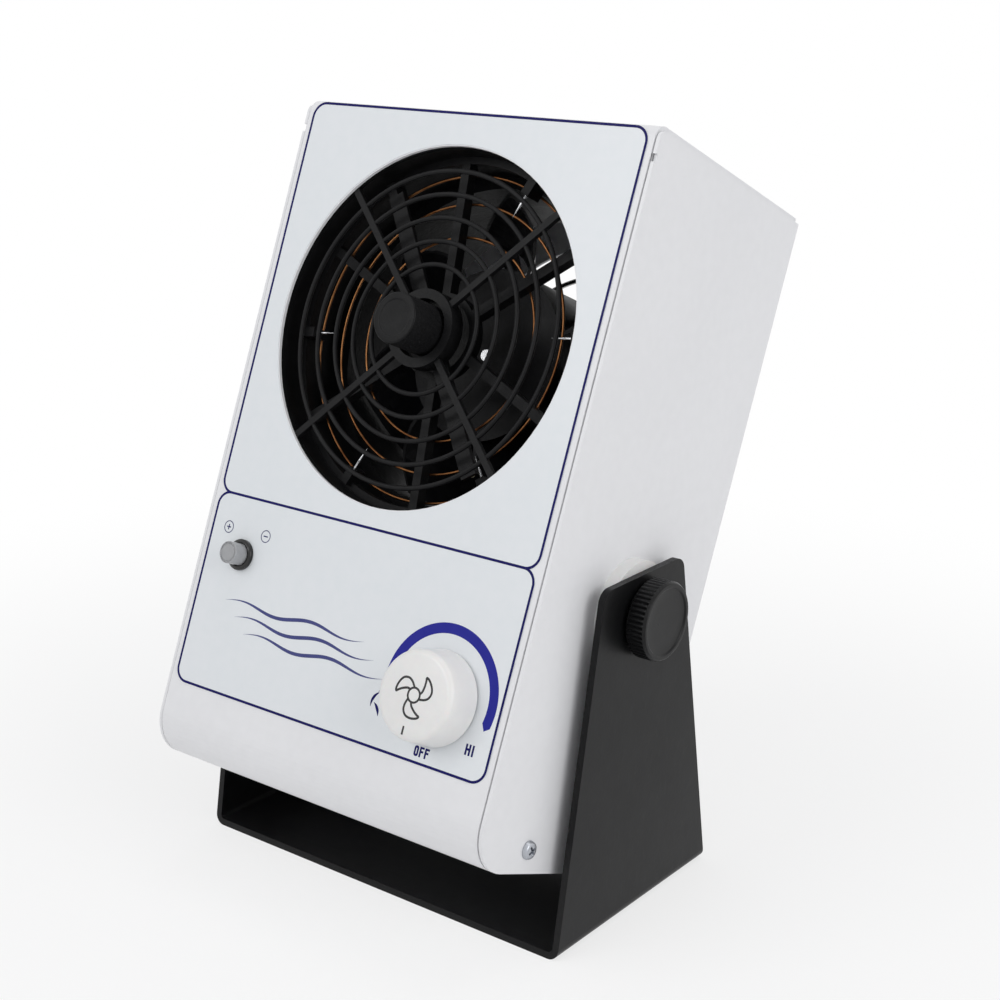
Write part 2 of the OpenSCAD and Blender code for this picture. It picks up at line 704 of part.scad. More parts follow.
module indicator_bezel() color(black) on_front(-lamp_left, -lamp_down) difference() {
    union() {
        translate([0, 0, label_t]) cylinder(r = lamp_bezel_r, h = lamp_flange);
        translate([0, 0, -lamp_body_l]) cylinder(r = lamp_lens_r, h = lamp_body_l + label_t + overlap);
        for (side = [-1, 1])
            translate([side * lamp_tag_x - lamp_tag[0] / 2, -lamp_tag[1] / 2,
                -lamp_body_l - lamp_tag[2] + 0.5])
                cube(lamp_tag);
    }
    translate([0, 0, label_t - 3]) cylinder(r = lamp_lens_r - 0.6, h = 6);
}

// Clear cap of the lamp with a rounded rim and a spigot in the bezel
module indicator_lens() color(clear_plastic) on_front(-lamp_left, -lamp_down) rotate_extrude()
    polygon(concat(
    [[0, label_t - 2.5], [lamp_lens_r - 0.6, label_t - 2.5], [lamp_lens_r - 0.6, label_t + lamp_flange],
        [lamp_lens_r, label_t + lamp_flange]],
    arc(lamp_lens_r - 0.6, lamp_out - 0.6, 0.6, 0, 90, 5), [[0, lamp_out]]));

module indicator_nut() color(bare_steel) on_front(-lamp_left, -lamp_down)
    translate([0, 0, -sheet_t - 2]) nut(11, lamp_lens_r, 2);

// Rotary control behind the panel with its threaded bushing and three tags
module potentiometer() color(bare_steel) on_front(speed_x, -speed_down) difference() {
    union() {
        translate([0, 0, -sheet_t - pot_body_l]) cylinder(r = pot_body_r, h = pot_body_l);
        translate([0, 0, -sheet_t - overlap]) cylinder(r = bushing_r,
            h = sheet_t + overlap + label_t + pot_nut_t + 1);
        for (i = [-1:1])
            translate([i * pot_tag_pitch - pot_tag[0] / 2, -pot_body_r - pot_tag[1] / 2,
                -sheet_t - pot_body_l + 2])
                cube(pot_tag);
    }
    translate([0, 0, -sheet_t - pot_body_l + 2]) cylinder(r = pot_shaft_r + run_play, h = 2 * pot_body_l);
}

module pot_nut() color(bare_steel) on_front(speed_x, -speed_down)
    translate([0, 0, label_t]) nut(10, bushing_r, pot_nut_t);

module pot_shaft() color(bare_steel) on_front(speed_x, -speed_down)
    translate([0, 0, -sheet_t - pot_body_l + 2 + face_gap]) cylinder(r = pot_shaft_r,
        h = sheet_t + pot_body_l - 2 - face_gap + speed_out - 3);

// Tapered knob with a rounded front edge, hollow round the nut
module speed_knob() color(white_plastic) on_front(speed_x, -speed_down) difference() {
    rotate_extrude() polygon(concat(
        [[0, label_t + knob_gap], [speed_r, label_t + knob_gap]],
        arc(speed_face_r - speed_fillet, speed_out - speed_fillet, speed_fillet, 0, 90, 8), [[0,
            speed_out]]));
    translate([0, 0, -1]) cylinder(r = 8, h = 1 + speed_skirt);
    translate([0, 0, -1]) cylinder(r = pot_shaft_r, h = 1 + speed_out - 3);
}

// ---------- inside the base of the housing ----------

hv_side_gap = 10.8;
hv_centre_gap = 5;
hv_y = -12;
hv_d = 38;
hv_h = 28;
hv_boss_r = 5;
hv_boss_h = 6;

// Potted transformer block with its output boss
module high_voltage_module() color(moulded_black) lean() {
    translate([-side_in + hv_side_gap, hv_y, floor_z])
        cube([side_in - hv_side_gap - hv_centre_gap, hv_d, hv_h]);
    translate([-(side_in - hv_side_gap + hv_centre_gap) / 2, hv_y + hv_d / 2, floor_z + hv_h - 1])
        cylinder(r = hv_boss_r, h = hv_boss_h);
}

board_side_gap = 7.8;
board_gap = 8;
board_x = 2;
board_y = -22;
board_w = side_in - board_x - board_side_gap;
board_d = 50;
board_t = 1.6;
board_top = board_t - overlap;
board_edge = 4;
board_hole_r = 1.6;
standoff_r = 3;
choke = [24, 20, 17];
choke_at = [8, 14];
large_can = [5, 14];
small_can = [4, 12];
can_in = 20;
terminals = [8, 28, 9];
terminals_in = 12;

// Drive board with its choke, two capacitors and a terminal row
module control_board() color(board_green) lean() translate([board_x, board_y, floor_z + board_gap]) {
    difference() {
        cube([board_w, board_d, board_t]);
        board_holes() translate([0, 0, -1]) cylinder(r = board_hole_r, h = board_t + 2);
    }
    translate([choke_at[0], choke_at[1], board_top]) cube(choke);
    translate([board_w - can_in, 16, board_top]) cylinder(r = large_can[0], h = large_can[1]);
    translate([board_w - can_in, 32, board_top]) cylinder(r = small_can[0], h = small_can[1]);
    translate([board_w - terminals_in, 10, board_top]) cube(terminals);
}

module board_holes() for (x = [board_edge, board_w - board_edge], y = [board_edge, board_d - board_edge])
    translate([x, y, 0]) children();

module board_standoffs() color(brass) lean() translate([board_x, board_y, floor_z]) board_holes() {
    cylinder(r = standoff_r / cos(30), h = board_gap, $fn = 6);
    translate([0, 0, board_gap - overlap]) cylinder(r = board_hole_r - 0.1, h = standoff_r);
}

// ---------- bracket and clamps ----------

// Side view of an arm: a trapezoid with rounded top corners
module arm_view() {
    lean_in = atan((base_d - arm_top_d) / 2 / arm_h);
    r = arm_corner_r;
    y = arm_top_d / 2 + r * tan(lean_in) - r / cos(lean_in);
    polygon(concat([[-base_d / 2, 0], [base_d / 2, 0]],
        arc(y, arm_h - r, r, lean_in, 90), arc(-y, arm_h - r, r, 90, 180 - lean_in)));
}

// Front view of the bracket's bent strip
module strip_view(inset) {
    r = max(bracket_bend_r - inset, 0.5);
    x = bracket_w / 2 - inset;
    polygon(concat([[x, 2 * arm_h], [-x, 2 * arm_h]],
        arc(-x + r, inset + r, r, 180, 270, 6), arc(x - r, inset + r, r, 270, 360, 6)));
}

module bracket() color(black) difference() {
    intersection() {
        across(2 * bracket_w) arm_view();
        rotate([90, 0, 0]) linear_extrude(2 * base_d, center = true) difference() {
            strip_view(0);
            strip_view(bracket_t);
        }
    }
    translate([0, 0, pivot_h]) rotate([0, 90, 0]) cylinder(r = stud_r + hole_play, h = 2 * bracket_w,
        center = true);
}

arm_face = arm_gap + bracket_t;
spacer_t = arm_gap - face_gap;

module pivot_spacer(side) color(white_plastic) on_side(side) tube(spacer_r, stud_r + hole_play, spacer_t);
module pivot_spacer_left() pivot_spacer(-1);
module pivot_spacer_right() pivot_spacer(1);

pivot_nut_t = 5;
stud_in = 8;

// Nuts welded inside the side plates
module pivot_nuts() color(bare_steel) for (side = [-1, 1])
    on_side(side) translate([0, 0, -sheet_t - pivot_nut_t]) nut(10, stud_r + run_play, pivot_nut_t);

groove_r = 0.5;
groove_out = 0.15;
clamp_bevel = 1;
clamp_fillet = 0.6;
clamp_rim = 1.8;
clamp_dish = 0.4;

// Fluted knob with a shallow dished face
module clamp_knob(side) color(black) on_side(side) translate([0, 0, arm_face + knob_gap]) difference() {
    rotate_extrude() polygon(concat([[0, 0], [clamp_r - clamp_bevel, 0], [clamp_r, clamp_bevel]],
        arc(clamp_r - clamp_fillet, clamp_h - clamp_fillet, clamp_fillet, 0, 90, 4),
        [[clamp_r - clamp_rim, clamp_h], [clamp_r - clamp_rim - clamp_dish, clamp_h - clamp_dish],
        [0, clamp_h - clamp_dish]]));
    for (i = [0:clamp_grooves - 1]) rotate(i * 360 / clamp_grooves) translate([clamp_r + groove_out, 0, -1])
        cylinder(r = groove_r, h = clamp_h - 0.2, $fn = 16);
    translate([0, 0, -1]) cylinder(r = stud_r, h = 1 + clamp_h / 2);
}
module clamp_knob_left() clamp_knob(-1);
module clamp_knob_right() clamp_knob(1);

module clamp_stud(side) color(bare_steel) on_side(side) translate([0, 0, -stud_in])
    cylinder(r = stud_r, h = stud_in + arm_face + knob_gap + clamp_h / 2);
module clamp_stud_left() clamp_stud(-1);
module clamp_stud_right() clamp_stud(1);

bracket();
front_shell();
rear_shell();
label_overlay();
outlet_grille();
air_duct();
emitter_carrier();
emitter_needles();
wire_rings();
fan_frame();
fan_stator();
fan_bearings();
fan_studs();
fan_nuts();
inlet_guard();
guard_screws();
indicator_bezel();
indicator_lens();
indicator_nut();
potentiometer();
pot_nut();
high_voltage_module();
control_board();
board_standoffs();
power_inlet();
inlet_pins();
inlet_screws();
case_screws();
pivot_spacer_left();
pivot_spacer_right();
pivot_nuts();
cleaning_knob();
cleaning_shaft();
brush_arm();
brush_tufts();
impeller();
fan_shaft();
speed_knob();
pot_shaft();
clamp_knob_left();
clamp_stud_left();
clamp_knob_right();
clamp_stud_right();
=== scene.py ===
"""Dresses the ionizing bench blower: painted sheet, printed label, mouldings, knobs, screws and fan."""
import json
from math import atan2, cos, pi, radians, sin, tan

import bmesh
import bpy
from mathutils import Matrix, Vector


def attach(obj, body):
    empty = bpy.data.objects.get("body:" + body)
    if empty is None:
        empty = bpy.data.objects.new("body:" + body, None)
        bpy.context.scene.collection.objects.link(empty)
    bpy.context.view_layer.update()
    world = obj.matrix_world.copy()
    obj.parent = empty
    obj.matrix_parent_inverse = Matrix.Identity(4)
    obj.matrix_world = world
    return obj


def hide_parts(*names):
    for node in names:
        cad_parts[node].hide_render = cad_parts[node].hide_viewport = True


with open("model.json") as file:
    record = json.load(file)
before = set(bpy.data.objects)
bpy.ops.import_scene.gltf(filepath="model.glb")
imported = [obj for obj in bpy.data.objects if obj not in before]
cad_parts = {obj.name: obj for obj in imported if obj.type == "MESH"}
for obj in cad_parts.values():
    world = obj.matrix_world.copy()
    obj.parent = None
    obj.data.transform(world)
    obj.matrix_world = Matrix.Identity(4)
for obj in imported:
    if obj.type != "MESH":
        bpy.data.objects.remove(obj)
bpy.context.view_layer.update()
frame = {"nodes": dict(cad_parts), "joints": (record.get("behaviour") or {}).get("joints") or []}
nodes = frame["nodes"]
joints = {joint["name"]: joint for joint in frame["joints"]}
MM = 0.001
CREASE = 35          # degrees from which an edge between two faces is sharp
PRINT_SINK = 0.002   # millimetres by which print starts below its surface, so that no gap shows


def add_object(name, data):
    """A new object in the scene."""
    made = bpy.data.objects.new(name, data)
    bpy.context.scene.collection.objects.link(made)
    return made


# ---------- camera, light and floor ----------

def aim_camera():
    """Looks down on the front and the right side plate, from close by."""
    yaw, pitch, roll = radians(37.848), radians(21.688), radians(0.159)
    back = Vector((sin(yaw) * cos(pitch), -cos(yaw) * cos(pitch), sin(pitch)))
    right = Vector((0, 0, 1)).cross(back).normalized()
    up = back.cross(right)
    rolled = [right * cos(roll) + up * sin(roll), up * cos(roll) - right * sin(roll), back]
    camera = add_object("studio_camera", bpy.data.cameras.new("studio_camera"))
    stand = Matrix.Translation((0.38159, -0.46336, 0.32124))
    camera.matrix_world = stand @ Matrix(rolled).transposed().to_4x4()
    camera.data.lens = 63.25
    camera.data.shift_y = 0.14
    camera.data.clip_start, camera.data.clip_end = 0.01, 20
    bpy.context.scene.camera = camera


def softbox(name, at, width, height, power):
    """A rectangular studio lamp that faces the middle of the blower: metres and watts."""
    middle = Vector((0, 0, 0.13))
    lamp = add_object(name, bpy.data.lights.new(name, "AREA"))
    lamp.data.shape = "RECTANGLE"
    lamp.data.size, lamp.data.size_y, lamp.data.energy = width, height, power
    lamp.location = at
    lamp.rotation_euler = (middle - Vector(at)).to_track_quat("-Z", "Y").to_euler()


# ---------- node helpers ----------

def tone(red, green, blue):
    """A display colour, 0 to 255, as the linear colour that a shader takes."""
    shares = (level / 255 for level in (red, green, blue))
    return (*(c / 12.92 if c <= 0.04 else ((c + 0.055) / 1.055) ** 2.4 for c in shares), 1)


def put(tree, kind, inputs=None, **settings):
    """Adds a shader node, sets it up, and links or fills its inputs."""
    made = tree.nodes.new("ShaderNode" + kind)
    for key, value in settings.items():
        setattr(made, key, value)
    for key, value in (inputs or {}).items():
        if isinstance(value, bpy.types.NodeSocket):
            tree.links.new(value, made.inputs[key])
        else:
            made.inputs[key].default_value = value
    return made


def mixed(tree, share, first, second):
    """The first colour, with a share of the second."""
    return put(tree, "Mix", {0: share, 6: first, 7: second}, data_type="RGBA").outputs[2]


def sums(tree, operation, *values):
    """The result of one Math node."""
    return put(tree, "Math", dict(enumerate(values)), operation=operation).outputs[0]


def remap(tree, value, low, high, to_low, to_high, **settings):
    """A value that runs from low to high, made to run from to_low to to_high and held at both ends."""
    return put(tree, "MapRange", {0: value, 1: low, 2: high, 3: to_low, 4: to_high}, **settings).outputs[0]


def seen_share(tree):
    """1 for what the camera, a reflection or clear plastic sees, and 0 for what only lights the blower."""
    path = put(tree, "LightPath").outputs
    return sums(tree, "MAXIMUM", path["Is Camera Ray"],
                sums(tree, "MAXIMUM", path["Is Glossy Ray"], path["Is Transmission Ray"]))


def noise(tree, scale, detail=3.0, stretch=None):
    """Noise fixed to the piece itself, in its own metres; stretch squeezes it along X, Y and Z."""
    where = put(tree, "TexCoord").outputs["Object"]
    if stretch:
        where = put(tree, "Mapping", {"Vector": where, "Scale": stretch}).outputs[0]
    return put(tree, "TexNoise", {"Vector": where, "Scale": scale, "Detail": detail}).outputs["Fac"]


def effect(name, inputs, outputs, make):
    """A shader node group with named inputs and outputs."""
    tree = bpy.data.node_groups.new(name, "ShaderNodeTree")
    for label, kind, value in inputs:
        socket = tree.interface.new_socket(label, in_out="INPUT", socket_type="NodeSocket" + kind)
        socket.default_value = value
    for label, kind in outputs:
        tree.interface.new_socket(label, in_out="OUTPUT", socket_type="NodeSocket" + kind)
    given, result = tree.nodes.new("NodeGroupInput"), tree.nodes.new("NodeGroupOutput")
    for label, socket in make(tree, given.outputs).items():
        tree.links.new(socket, result.inputs[label])
    return tree


def shade_drift(tree, given):
    """Slow and fine drift between two shades of one finish."""
    slow, fine = noise(tree, 14, 2), noise(tree, given["Scale"], 4)
    both = sums(tree, "MULTIPLY_ADD", slow, 0.5, sums(tree, "MULTIPLY", fine, 0.5))
    share = remap(tree, both, 0.38, 0.62, 0.0, 1.0)
    return {"Colour": mixed(tree, share, given["Colour"], given["Second"])}


def gloss_drift(tree, given):
    """Gloss that wanders as on a handled surface, with a few thin rubs."""
    wander = sums(tree, "MULTIPLY_ADD", noise(tree, given["Scale"], 4), 2.0, -1.0)
    rubs = noise(tree, 60, 6, stretch=(1.0, 9.0, 2.2))
    rubbed = remap(tree, rubs, 0.60, 0.66, 0.0, 0.6)
    both = sums(tree, "SUBTRACT", wander, rubbed)
    moved = sums(tree, "MULTIPLY_ADD", both, given["Spread"], given["Roughness"])
    return {"Roughness": put(tree, "Clamp", {0: moved, 1: 0.03, 2: 1.0}).outputs[0]}


def paint_skin(tree, given):
    """The low orange peel of sprayed and baked paint."""
    peel = noise(tree, given["Scale"], 2)
    return {"Normal": put(tree, "Bump", {"Height": peel, "Distance": given["Depth"]}).outputs[0]}


def moulded_grain(tree, given):
    """The eroded grain of a mould: small pits between rounded islands."""
    where = put(tree, "TexCoord").outputs["Object"]
    cells = put(tree, "TexVoronoi", {"Vector": where, "Scale": given["Scale"], "Smoothness": 0.7},
                feature="SMOOTH_F1").outputs["Distance"]
    height = sums(tree, "MULTIPLY_ADD", noise(tree, given["Scale"], 4), 0.8, cells)
    return {"Normal": put(tree, "Bump", {"Height": height, "Distance": given["Depth"]}).outputs[0]}


def draw_marks(tree, given):
    """Fine parallel marks left by drawing, turning or rolling."""
    lines = noise(tree, given["Scale"], 3, stretch=(0.08, 1.0, 1.0))
    return {"Normal": put(tree, "Bump", {"Height": lines, "Distance": given["Depth"]}).outputs[0]}


DRIFT = effect("Shade drift",
               [("Colour", "Color", (0.5, 0.5, 0.5, 1)), ("Second", "Color", (0.5, 0.5, 0.5, 1)),
                ("Scale", "Float", 200.0)],
               [("Colour", "Color")], shade_drift)
GLOSS = effect("Gloss drift",
               [("Roughness", "Float", 0.4), ("Spread", "Float", 0.1), ("Scale", "Float", 60.0)],
               [("Roughness", "Float")], gloss_drift)
RELIEF_INPUTS = [("Scale", "Float", 900.0), ("Depth", "Float", 0.00002)]
PEEL = effect("Paint skin", RELIEF_INPUTS, [("Normal", "Vector")], paint_skin)
GRAIN = effect("Moulded grain", RELIEF_INPUTS, [("Normal", "Vector")], moulded_grain)
MARKS = effect("Draw marks", RELIEF_INPUTS, [("Normal", "Vector")], draw_marks)


def place_effect(tree, group, inputs):
    """Places an effect in a material, with this material's own values."""
    made = tree.nodes.new("ShaderNodeGroup")
    made.node_tree = group
    for key, value in inputs.items():
        made.inputs[key].default_value = value
    return made.outputs


def finish(name, colour, second, gloss, relief, drift_scale=240.0, **shader):
    """A finish: two shades that drift; gloss is (roughness, spread, scale), relief (group, scale, mm)."""
    material = bpy.data.materials.new(name)
    material.use_nodes = True
    tree = material.node_tree
    surface = tree.nodes["Principled BSDF"]
    shade = place_effect(tree, DRIFT, {"Colour": colour, "Second": second, "Scale": drift_scale})
    tree.links.new(shade["Colour"], surface.inputs["Base Color"])
    roughness, spread, scale = gloss
    glossy = place_effect(tree, GLOSS, {"Roughness": roughness, "Spread": spread, "Scale": scale})
    tree.links.new(glossy["Roughness"], surface.inputs["Roughness"])
    group, scale, depth = relief
    raised = place_effect(tree, group, {"Scale": scale, "Depth": depth * MM})
    tree.links.new(raised["Normal"], surface.inputs["Normal"])
    for key, value in shader.items():
        surface.inputs[key.replace("_", " ")].default_value = value
    return material


# ---------- finishes ----------

FILM_GRAIN = (GRAIN, 2600, 0.004)

housing_paint = finish("white baked paint", tone(234, 234, 236), tone(231, 231, 233), (0.36, 0.02, 40),
                       (PEEL, 700, 0.012))
label_film = finish("satin label film", tone(229, 232, 235), tone(226, 230, 233), (0.32, 0.02, 60),
                    FILM_GRAIN)
navy_ink = finish("navy ink", tone(18, 16, 84), tone(22, 20, 92), (0.4, 0.04, 200), FILM_GRAIN,
                  Specular_IOR_Level=0.1)
blue_ink = finish("blue ink", tone(40, 42, 142), tone(45, 47, 148), (0.4, 0.04, 200), FILM_GRAIN,
                  Specular_IOR_Level=0.1)
grey_ink = finish("grey blue ink", tone(70, 74, 126), tone(80, 84, 134), (0.4, 0.06, 200), FILM_GRAIN,
                  Specular_IOR_Level=0.1)
black_ink = finish("black ink", tone(16, 16, 18), tone(24, 24, 26), (0.4, 0.06, 200), FILM_GRAIN)
bracket_paint = finish("black semi-gloss paint", tone(14, 14, 15), tone(20, 20, 21), (0.38, 0.07, 50),
                       (PEEL, 900, 0.02), Specular_IOR_Level=0.18)
black_moulding = finish("black moulded plastic", tone(16, 16, 17), tone(24, 24, 25), (0.42, 0.08, 80),
                        (GRAIN, 1500, 0.03), Specular_IOR_Level=0.12)
grained_black = finish("grained black plastic", tone(14, 14, 15), tone(30, 30, 31), (0.5, 0.1, 300),
                       (GRAIN, 1300, 0.12), drift_scale=1300, Specular_IOR_Level=0.12)
knob_black = finish("smooth black plastic", tone(15, 15, 16), tone(22, 22, 23), (0.32, 0.07, 90),
                    (PEEL, 1200, 0.008), Specular_IOR_Level=0.2)
white_moulding = finish("ivory white plastic", tone(236, 235, 233), tone(232, 231, 230), (0.34, 0.05, 60),
                        (PEEL, 1500, 0.004), Subsurface_Weight=0.05, Subsurface_Scale=0.002)
bezel_black = finish("glossy black bezel", tone(10, 10, 11), tone(16, 16, 17), (0.16, 0.04, 200),
                     (PEEL, 2000, 0.002))
lamp_grey = finish("lamp reflector", tone(170, 171, 172), tone(140, 141, 143), (0.35, 0.08, 500),
                   (PEEL, 2400, 0.02), drift_scale=900)
fan_casting = finish("black cast aluminium", tone(18, 18, 19), tone(28, 28, 29), (0.45, 0.1, 120),
                     (GRAIN, 900, 0.06), Specular_IOR_Level=0.12)
fan_moulding = finish("black fan blade", tone(17, 17, 18), tone(26, 26, 28), (0.36, 0.08, 90),
                      (GRAIN, 1600, 0.02), Specular_IOR_Level=0.12)
bright_steel = finish("bright steel", tone(206, 207, 209), tone(186, 187, 190), (0.24, 0.08, 300),
                      (MARKS, 3000, 0.006), Metallic=1.0)
zinc_steel = finish("zinc plated steel", tone(196, 199, 203), tone(166, 170, 178), (0.34, 0.1, 400),
                    (MARKS, 2400, 0.01), Metallic=1.0)
guard_wire = finish("nickel plated wire", tone(198, 198, 196), tone(170, 170, 168), (0.22, 0.07, 300),
                    (MARKS, 2600, 0.006), Metallic=1.0)
copper_wire = finish("copper wire", tone(150, 104, 66), tone(104, 66, 40), (0.34, 0.1, 500),
                     (MARKS, 3200, 0.006), Metallic=1.0)
brass_parts = finish("brass", tone(200, 170, 104), tone(170, 140, 80), (0.28, 0.08, 400),
                     (MARKS, 3000, 0.006), Metallic=1.0)
potting = finish("potted module case", tone(28, 28, 30), tone(38, 38, 40), (0.5, 0.1, 100),
                 (GRAIN, 1100, 0.04))
board_laminate = finish("board laminate", tone(24, 84, 54), tone(34, 100, 66), (0.32, 0.08, 200),
                        (GRAIN, 2200, 0.02), drift_scale=1500)
bristle = finish("brush bristle", tone(214, 206, 180), tone(184, 176, 150), (0.6, 0.1, 900),
                 (MARKS, 6000, 0.05), drift_scale=3000)
clear_lens = finish("clear lens", tone(214, 215, 217), tone(200, 201, 204), (0.1, 0.04, 300),
                    (PEEL, 2600, 0.003), Transmission_Weight=0.5, IOR=1.49)

WEARS = [
    (bracket_paint, "bracket"),
    (housing_paint, "front_shell rear_shell"),
    (label_film, "label_overlay"),
    (black_moulding, "outlet_grille air_duct emitter_carrier brush_arm potentiometer"),
    (fan_casting, "fan_frame fan_stator"),
    (fan_moulding, "impeller"),
    (bright_steel, "fan_shaft pot_shaft pot_nut indicator_nut fan_bearings cleaning_shaft emitter_needles"),
    (zinc_steel, "fan_studs fan_nuts pivot_nuts guard_screws inlet_screws board_standoffs case_screws "
                 "clamp_stud_left clamp_stud_right"),
    (guard_wire, "inlet_guard"),
    (copper_wire, "wire_rings"),
    (brass_parts, "inlet_pins"),
    (potting, "high_voltage_module"),
    (board_laminate, "control_board"),
    (bristle, "brush_tufts"),
    (knob_black, "clamp_knob_left clamp_knob_right power_inlet indicator_bezel cleaning_knob"),
    (white_moulding, "pivot_spacer_left pivot_spacer_right speed_knob"),
    (clear_lens, "indicator_lens"),
]


def wear_finishes():
    """Gives every solid its finish."""
    for material, names in WEARS:
        for name in names.split():
            for held in nodes[name].material_slots:
                held.material = material


# ---------- places on the blower ----------

OUT = Vector(joints["fan_spin"]["axis"])
RIGHT = Vector((1, 0, 0))
RISE = RIGHT.cross(-OUT)
HOUSING = (Matrix.Translation(joints["housing_tilt"]["pos_m"])
           @ Matrix((RIGHT, -OUT, RISE)).transposed().to_4x4() @ Matrix.Scale(MM, 4))


def span(name):
    """Lowest and highest corners of a CAD node in the housing's own frame, in millimetres."""
    to_housing = HOUSING.inverted()
    points = [to_housing @ v.co for v in nodes[name].data.vertices]
    return [Vector(end(p[k] for p in points) for k in range(3)) for end in (min, max)]


def on_front(x, z, depth):
    """Front frame: X right, Y up, Z out of the front, at a depth behind the tilt axis (negative is ahead)."""
    return HOUSING @ Matrix.Translation((x, depth, z)) @ Matrix.Rotation(pi / 2, 4, "X")


def on_side(side, x, y=0.0, z=0.0):
    """Side frame: Z outward along the tilt axis, X toward the top, Y toward the back on the right side."""
    turn = Matrix(((0, 0, side), (0, side, 0), (-1, 0, 0))).to_4x4()
    return HOUSING @ Matrix.Translation((side * x, y, z)) @ turn


# ---------- mesh helpers ----------

def outward_mesh(name, points, faces):
    """A mesh with its faces turned outward."""
    mesh = bpy.data.meshes.new(name)
    mesh.from_pydata(points, [], faces)
    work = bmesh.new()
    work.from_mesh(mesh)
    bmesh.ops.recalc_face_normals(work, faces=work.faces)
    work.to_mesh(mesh)
    work.free()
    return mesh


def piece(name, shape, place, body, material, stands_for=()):
    """A finished mesh piece from one shape, (points, faces) in millimetres, or a list of (shape, place)."""
    shapes = shape if isinstance(shape, list) else [(shape, place)]
    points, faces = [], []
    for (own_points, own_faces), own_place in shapes:
        start = len(points)
        points += [own_place @ Vector(p) for p in own_points]
        faces += [[start + i for i in face] for face in own_faces]
    mesh = outward_mesh(name, points, faces)
    mesh.shade_smooth()
    mesh.set_sharp_from_angle(angle=radians(CREASE))
    mesh.materials.append(material)
    made = add_object(name, mesh)
    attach(made, body)
    if stands_for:
        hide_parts(*stands_for)
    return made


def arc(x, y, radius, start, end, steps=12):
    """Points of an arc, angles in degrees."""
    turns = [radians(start + (end - start) * i / steps) for i in range(steps + 1)]
    return [(x + radius * cos(t), y + radius * sin(t)) for t in turns]


def eased(corners, steps=5):
    """An open outline with its inner corners rounded: each corner is (x, y) or (x, y, radius)."""
    line = []
    for k, corner in enumerate(corners):
        here = Vector(corner[:2])
        if len(corner) < 3:
            line.append(tuple(here))
            continue
        before = (Vector(corners[k - 1][:2]) - here).normalized()
        after = (Vector(corners[k + 1][:2]) - here).normalized()
        half = before.angle(after) / 2
        centre = here + (before + after).normalized() * corner[2] / sin(half)
        first, last = (here + side * corner[2] / tan(half) - centre for side in (before, after))
        start, sweep = atan2(first.y, first.x), first.angle_signed(last)
        line += [(centre.x + corner[2] * cos(start - sweep * i / steps),
                  centre.y + corner[2] * sin(start - sweep * i / steps)) for i in range(steps + 1)]
    return line


def turned(profile, steps=96, closed=False, rib=None):
    """A turned shape from (radius, height) points. rib(angle, row) takes a little off the radius."""
    points, faces, rows = [], [], []
    for row, (radius, height) in enumerate(profile):
        if radius < 1e-6:
            rows.append([len(points)])
            points.append((0, 0, height))
            continue
        rows.append(range(len(points), len(points) + steps))
        for i in range(steps):
            angle = 2 * pi * i / steps
            reach = radius - (rib(angle, row) if rib else 0)
            points.append((reach * cos(angle), reach * sin(angle), height))
    for one, two in list(zip(rows, rows[1:])) + ([(rows[-1], rows[0])] if closed else []):
        for i in range(steps):
            j = (i + 1) % steps
            ring = [one[i % len(one)], one[j % len(one)], two[j % len(two)], two[i % len(two)]]
            faces.append(list(dict.fromkeys(ring)))
    return points, [face for face in faces if len(face) > 2]


def flat(loops, height=0.04):
    """A flat shape of the given height from closed outlines; an outline inside another cuts a hole."""
    curve = bpy.data.curves.new("outline", "CURVE")
    curve.dimensions, curve.fill_mode, curve.extrude = "2D", "BOTH", height / 2
    for loop in loops:
        line = curve.splines.new("POLY")
        line.points.add(len(loop) - 1)
        line.use_cyclic_u = True
        for point, (x, y) in zip(line.points, loop):
            point.co = (x, y, 0, 1)
    holder = add_object("outline", curve)
    mesh = bpy.data.meshes.new_from_object(holder.evaluated_get(bpy.context.evaluated_depsgraph_get()))
    work = bmesh.new()
    work.from_mesh(mesh)
    bmesh.ops.remove_doubles(work, verts=work.verts, dist=1e-4)
    lift = Vector((0, 0, height / 2))
    shape = [tuple(v.co + lift) for v in work.verts], [[v.index for v in f.verts] for f in work.faces]
    work.free()
    bpy.data.objects.remove(holder)
    bpy.data.curves.remove(curve)
    bpy.data.meshes.remove(mesh)
    return shape


def cut(solid, cutter):
    """One closed shape with another taken out of it."""
    holders = [add_object("blank", outward_mesh("blank", *shape)) for shape in (solid, cutter)]
    step = holders[0].modifiers.new("cut", "BOOLEAN")
    step.operation, step.solver, step.object = "DIFFERENCE", "EXACT", holders[1]
    mesh = bpy.data.meshes.new_from_object(holders[0].evaluated_get(bpy.context.evaluated_depsgraph_get()))
    shape = [tuple(v.co) for v in mesh.vertices], [list(f.vertices) for f in mesh.polygons]
    for holder in holders:
        bpy.data.objects.remove(holder)
    return shape


def stroke(line, width, taper=False):
    """A closed outline along a line, with the given width; taper draws both ends to a point."""
    left, right = [], []
    for i, here in enumerate(line):
        before, after = Vector(line[max(i - 1, 0)]), Vector(line[min(i + 1, len(line) - 1)])
        side = (after - before).normalized().orthogonal() * width / 2
        if taper:
            side *= max(sin(pi * i / (len(line) - 1)), 0.02)
        left.append(tuple(Vector(here) + side))
        right.append(tuple(Vector(here) - side))
    return left + right[::-1]


def ribbon(line, width, height=0.05):
    """A raised strip along a line, built across it so that it may bend sharply."""
    outline, count = stroke(line, width), len(line)
    whole = 2 * count
    points = [(x, y, z) for z in (0, height) for x, y in outline]
    across = [[i, i + 1, whole - 2 - i, whole - 1 - i] for i in range(count - 1)]
    edges = [[k, (k + 1) % whole, (k + 1) % whole + whole, k + whole] for k in range(whole)]
    return points, across + [[i + whole for i in face] for face in across] + edges


